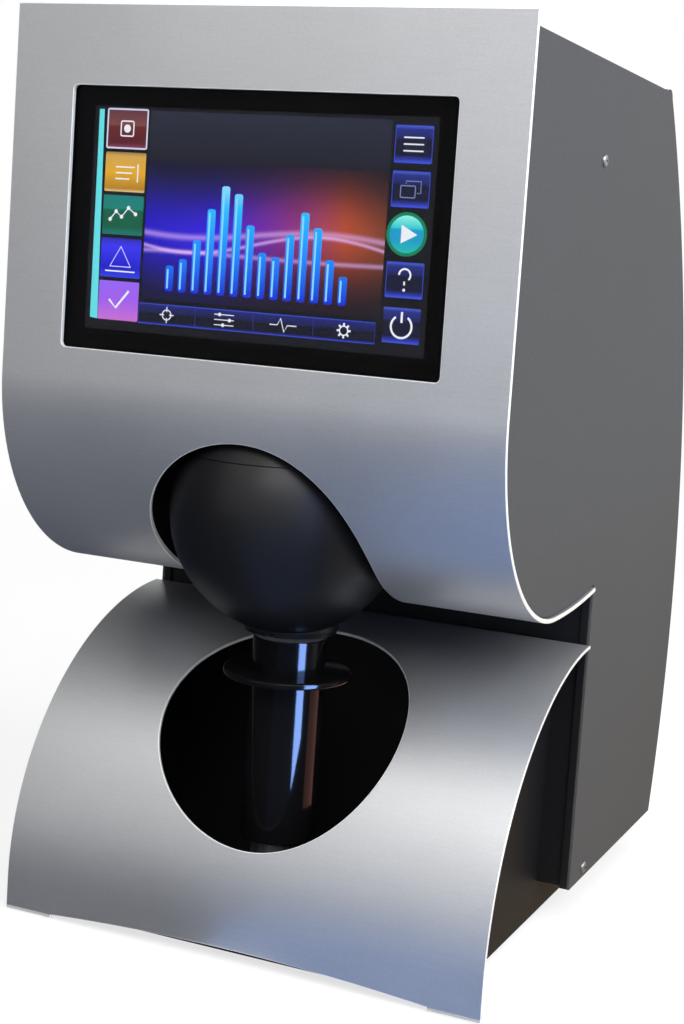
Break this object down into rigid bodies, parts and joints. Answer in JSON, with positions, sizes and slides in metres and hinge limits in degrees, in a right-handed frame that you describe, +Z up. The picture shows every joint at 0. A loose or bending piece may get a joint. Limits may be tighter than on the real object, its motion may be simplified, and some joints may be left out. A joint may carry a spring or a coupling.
{
  "type": "benchtop colorimeter",
  "caption": "Upright lab instrument with a flat upright screen front rolled under in a J, a black dome measuring head in an arch, and a spring plunger rising through a quarter-round lower cover.",
  "frame": {"origin": "middle of the footprint on the table, under the instrument", "axes": "+Z up, -Y towards the front cover with the screen, +X towards the right side seen from the front"},
  "size_m": [0.305, 0.3912, 0.529],
  "materials": {
    "brushed_cover": "brushed, satin",
    "grey_paint": "dark grey metallic, satin",
    "black_paint": "fine matt black",
    "zinc_sheet": "zinc plated sheet",
    "dome_black": "satin black moulding",
    "gloss_black": "polished black",
    "aperture_black": "black anodised",
    "screen_glass": "clear, with a black printed border",
    "lcd": "backlit colour display",
    "white_lining": "diffuse white",
    "clear_glass": "polished lens glass",
    "alloy": "machined or extruded",
    "screw_steel": "plated steel",
    "spring_steel": "spring steel",
    "board_green": "solder mask",
    "brass": "turned",
    "rubber": "moulded",
    "black_plastic": "moulded",
    "white_ceramic": "bisque",
    "pad": "soft black pad"
  },
  "bodies": {
    "chassis": {"upper_front_cover": "brushed_cover", "lower_front_cover": "brushed_cover", "right_side_panel": "grey_paint", "left_side_panel": "grey_paint", "top_cover": "grey_paint", "rear_cover": "grey_paint", "base_tray": "black_paint", "bay_walls": "black_paint", "bay_bulkhead": "black_paint", "equipment_deck": "zinc_sheet", "service_plate": "black_paint", "optics_bracket": "black_paint", "dome_bay_liner": "black_paint", "upper_crossbar": "zinc_sheet", "lower_crossbar": "zinc_sheet", "cover_rails": "zinc_sheet", "dome_shroud": "dome_black", "dome_cap": "dome_black", "sphere_lower_half": "white_lining", "sphere_upper_half": "white_lining", "sphere_screws": "screw_steel", "lens_tube": "alloy", "objective_lens": "clear_glass", "spectrometer_housing": "alloy", "spectrometer_lid": "alloy", "lamp_tube": "alloy", "lamp_housing": "alloy", "lamp_bulb": "clear_glass", "lamp_socket": "white_ceramic", "filter_actuator": "black_plastic", "guide_post": "alloy", "plunger_spring": "spring_steel", "touch_glass": "screen_glass", "lcd_panel": "lcd", "lcd_back_frame": "zinc_sheet", "display_bracket": "zinc_sheet", "display_board": "board_green", "main_board": "board_green", "heat_sink": "alloy", "control_board": "board_green", "board_standoffs": "brass", "lamp_driver": "alloy", "supply_chassis": "zinc_sheet", "supply_board": "board_green", "fan_frame": "black_plastic", "fan_guard": "zinc_sheet", "fan_screws": "screw_steel", "mains_inlet": "black_plastic", "data_ports": "screw_steel", "rubber_feet": "rubber", "side_screws": "screw_steel"},
    "plunger": {"plunger_sleeve": "gloss_black", "plunger_flange": "gloss_black", "sample_pad": "pad"},
    "aperture": {"aperture_plate": "aperture_black"},
    "filter": {"filter_slide": "alloy", "uv_filter": "clear_glass"},
    "fan": {"fan_rotor": "black_plastic"},
    "rocker": {"power_switch": "black_plastic"},
    "fuse_holder": {"fuse_drawer": "black_plastic"}
  },
  "joints": [
    {"name": "plunger_press", "type": "slide", "parent": "chassis", "child": "plunger", "axis": [0, 0, -1], "range_m": [0, 0.035], "stiffness_N_per_m": 300, "springref_m": -0.02, "deforming": ["plunger_spring"]},
    {"name": "aperture_twist", "type": "hinge", "parent": "chassis", "child": "aperture", "pos_m": [0, -0.11178, 0.187], "axis": [0, 0, 1], "range_deg": [0, 30]},
    {"name": "filter_shift", "type": "slide", "parent": "chassis", "child": "filter", "axis": [1, 0, 0], "range_m": [0, 0.022]},
    {"name": "fan_spin", "type": "hinge", "parent": "chassis", "child": "fan", "pos_m": [0.062, 0.15922, 0.14], "axis": [0, 1, 0], "continuous": true},
    {"name": "switch_rock", "type": "hinge", "parent": "chassis", "child": "rocker", "pos_m": [-0.075, 0.17022, 0.146], "axis": [1, 0, 0], "range_deg": [-16, 0]},
    {"name": "fuse_pull", "type": "slide", "parent": "chassis", "child": "fuse_holder", "axis": [0, 1, 0], "range_m": [0, 0.018]}
  ]
}
